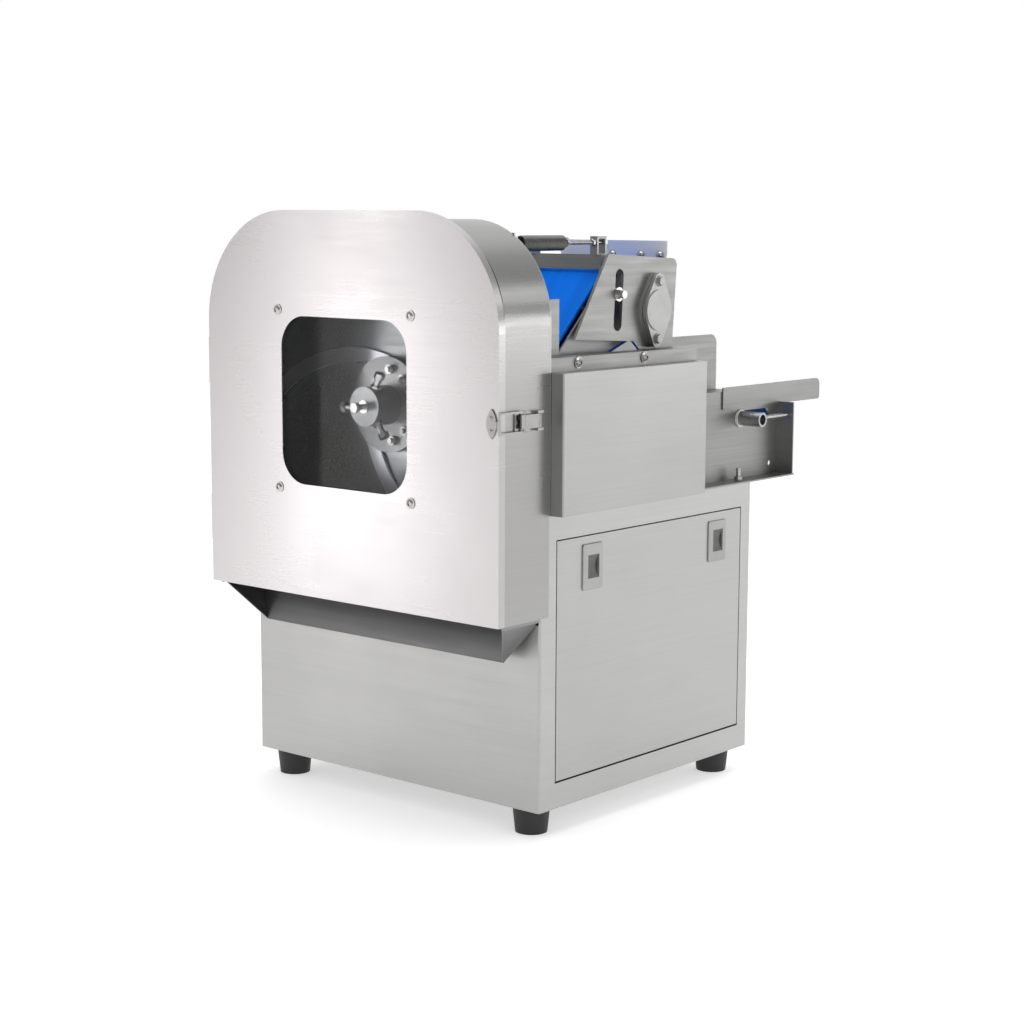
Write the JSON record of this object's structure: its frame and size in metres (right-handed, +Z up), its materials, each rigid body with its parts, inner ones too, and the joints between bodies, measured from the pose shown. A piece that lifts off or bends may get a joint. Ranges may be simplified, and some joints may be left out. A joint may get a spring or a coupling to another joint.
{
  "type": "vegetable cutting machine",
  "caption": "Bench-top vegetable cutter: belt-fed rotary blades in a round-topped steel drum with window door, press belt, cabinet and discharge chute.",
  "frame": {"origin": "middle of the underside of the overall box, on the floor", "axes": "+X to the operator's right facing the door, +Y to the rear along the conveyor, +Z up"},
  "size_m": [0.52, 0.7166, 0.7383],
  "materials": {
    "sheet_steel": "brushed",
    "door_steel": "brushed",
    "machined_steel": "satin",
    "bolts": "polished",
    "blue_belt": "matte",
    "black_rubber": "matte",
    "clear_window": "clear",
    "white_plastic": "matte",
    "black_plastic": "matte",
    "green_plastic": "gloss",
    "red_plastic": "gloss",
    "motor_paint": "satin",
    "cast_bearing": "painted"
  },
  "bodies": {
    "machine": {"base_plate": "sheet_steel", "cabinet_shell": "sheet_steel", "cable_gland": "black_plastic", "control_box": "sheet_steel", "conveyor_belt": "blue_belt", "conveyor_gearmotor": "motor_paint", "conveyor_walls": "sheet_steel", "cover_bolts": "bolts", "cutter_bearing_housing": "cast_bearing", "cutter_motor": "motor_paint", "discharge_chute": "sheet_steel", "drive_chains": "machined_steel", "drive_covers": "sheet_steel", "feed_tray": "sheet_steel", "hinge_leaves": "sheet_steel", "housing_back_plate": "sheet_steel", "housing_shell": "door_steel", "latch_base": "bolts", "mouth_cheeks": "sheet_steel", "press_bearings": "cast_bearing", "press_plates": "sheet_steel", "rear_guard": "sheet_steel", "rear_panel": "sheet_steel", "rubber_feet": "black_rubber", "side_cover": "sheet_steel", "side_plate": "sheet_steel", "slider_bed": "white_plastic", "tension_springs": "machined_steel", "top_deck": "sheet_steel", "v_belt": "black_rubber"},
    "front_door": {"door_panel": "door_steel", "window_pane": "clear_window", "window_screws": "bolts", "catch_plate": "bolts"},
    "latch_lever_body": {"latch_lever": "bolts"},
    "latch_bail_body": {"latch_bail": "bolts"},
    "access_door": {"access_panel": "sheet_steel", "panel_latch_plates": "bolts"},
    "button_front": {"panel_button_front": "black_plastic"},
    "button_rear": {"panel_button_rear": "black_plastic"},
    "cutter_rotor": {"cutter_shaft": "machined_steel", "cutter_hub": "machined_steel", "cutter_blades": "machined_steel", "cutter_bolts": "bolts"},
    "motor_rotor": {"motor_pulley": "machined_steel"},
    "head_roll": {"head_roller": "machined_steel"},
    "take_up": {"take_up_slide": "machined_steel"},
    "tail_roll": {"tail_roller": "machined_steel"},
    "drive_rotor": {"drive_shaft": "machined_steel"},
    "jack_rotor": {"jackshaft": "machined_steel"},
    "press_swing_frame": {"press_frame": "sheet_steel", "press_belt": "blue_belt", "guide_bolts": "bolts"},
    "press_rear_roll": {"press_rear_roller": "machined_steel"},
    "press_nose_roll": {"press_nose_roller": "machined_steel"},
    "press_top_roll": {"press_top_roller": "machined_steel"},
    "start_btn": {"start_button": "green_plastic"},
    "stop_btn": {"stop_button": "red_plastic"},
    "estop_btn": {"emergency_stop": "red_plastic"},
    "knob": {"speed_knob": "black_plastic"}
  },
  "joints": [
    {"name": "front_door_swing", "type": "hinge", "parent": "machine", "child": "front_door", "pos_m": [-0.2466, -0.3437, 0.5], "axis": [0, 0, -1], "range_deg": [0, 110]},
    {"name": "latch_lever_swing", "type": "hinge", "parent": "machine", "child": "latch_lever_body", "pos_m": [0.2465, -0.2887, 0.5015], "axis": [0, 0, 1], "range_deg": [0, 100]},
    {"name": "latch_bail_swing", "type": "hinge", "parent": "latch_lever_body", "child": "latch_bail_body", "pos_m": [0.2464, -0.3157, 0.5015], "axis": [0, 0, 1], "range_deg": [0, 60]},
    {"name": "access_panel_tilt", "type": "hinge", "parent": "machine", "child": "access_door", "pos_m": [0.2384, -0.05795, 0.0671], "axis": [0, 1, 0], "range_deg": [0, 35]},
    {"name": "panel_button_front_press", "type": "slide", "parent": "access_door", "child": "button_front", "axis": [-1, 0, 0], "range_m": [0, 0.003], "stiffness_N_per_m": 300},
    {"name": "panel_button_rear_press", "type": "slide", "parent": "access_door", "child": "button_rear", "axis": [-1, 0, 0], "range_m": [0, 0.003], "stiffness_N_per_m": 300},
    {"name": "cutter_spin", "type": "hinge", "parent": "machine", "child": "cutter_rotor", "pos_m": [-0.0045, -0.2777, 0.503], "axis": [0, 1, 0], "continuous": true},
    {"name": "cutter_motor_spin", "type": "hinge", "parent": "machine", "child": "motor_rotor", "pos_m": [-0.06, -0.2777, 0.18], "axis": [0, 1, 0], "continuous": true},
    {"name": "head_roller_spin", "type": "hinge", "parent": "machine", "child": "head_roll", "pos_m": [0.1255, -0.2377, 0.4685], "axis": [1, 0, 0], "continuous": true},
    {"name": "belt_take_up", "type": "slide", "parent": "machine", "child": "take_up", "axis": [0, 1, 0], "range_m": [0, 0.008], "deforming": ["conveyor_belt"]},
    {"name": "tail_roller_spin", "type": "hinge", "parent": "take_up", "child": "tail_roll", "pos_m": [0.1255, 0.1668, 0.4685], "axis": [1, 0, 0], "continuous": true},
    {"name": "drive_shaft_spin", "type": "hinge", "parent": "machine", "child": "drive_rotor", "pos_m": [0.2, -0.0737, 0.3], "axis": [1, 0, 0], "continuous": true},
    {"name": "jackshaft_spin", "type": "hinge", "parent": "machine", "child": "jack_rotor", "pos_m": [0.11, -0.0177, 0.3], "axis": [1, 0, 0], "continuous": true},
    {"name": "press_swing", "type": "hinge", "parent": "machine", "child": "press_swing_frame", "pos_m": [0.1255, -0.0312, 0.6175], "axis": [-1, 0, 0], "range_deg": [-9, 10], "deforming": ["tension_springs"]},
    {"name": "press_rear_roller_spin", "type": "hinge", "parent": "machine", "child": "press_rear_roll", "pos_m": [0.1255, -0.0312, 0.6175], "axis": [1, 0, 0], "continuous": true},
    {"name": "press_nose_roller_spin", "type": "hinge", "parent": "press_swing_frame", "child": "press_nose_roll", "pos_m": [0.1255, -0.1863, 0.5489], "axis": [1, 0, 0], "continuous": true},
    {"name": "press_top_roller_spin", "type": "hinge", "parent": "press_swing_frame", "child": "press_top_roll", "pos_m": [0.1255, -0.0727, 0.664], "axis": [1, 0, 0], "continuous": true},
    {"name": "start_button_press", "type": "slide", "parent": "machine", "child": "start_btn", "axis": [1, 0, 0], "range_m": [0, 0.003], "stiffness_N_per_m": 300},
    {"name": "stop_button_press", "type": "slide", "parent": "machine", "child": "stop_btn", "axis": [1, 0, 0], "range_m": [0, 0.003], "stiffness_N_per_m": 300},
    {"name": "emergency_stop_press", "type": "slide", "parent": "machine", "child": "estop_btn", "axis": [1, 0, 0], "range_m": [0, 0.004], "stiffness_N_per_m": 400},
    {"name": "speed_knob_turn", "type": "hinge", "parent": "machine", "child": "knob", "pos_m": [-0.25, -0.1827, 0.25], "axis": [-1, 0, 0], "range_deg": [0, 270]}
  ],
  "couplings": [
    {"joint": "cutter_motor_spin", "follows": "cutter_spin", "ratio": 1.1311},
    {"joint": "head_roller_spin", "follows": "press_rear_roller_spin", "ratio": -1.75},
    {"joint": "drive_shaft_spin", "follows": "press_rear_roller_spin", "ratio": -1.75},
    {"joint": "jackshaft_spin", "follows": "press_rear_roller_spin", "ratio": 1.75},
    {"joint": "tail_roller_spin", "follows": "press_rear_roller_spin", "ratio": -1.75},
    {"joint": "press_nose_roller_spin", "follows": "press_rear_roller_spin", "ratio": 1.7027},
    {"joint": "press_top_roller_spin", "follows": "press_rear_roller_spin", "ratio": 1.9091}
  ]
}
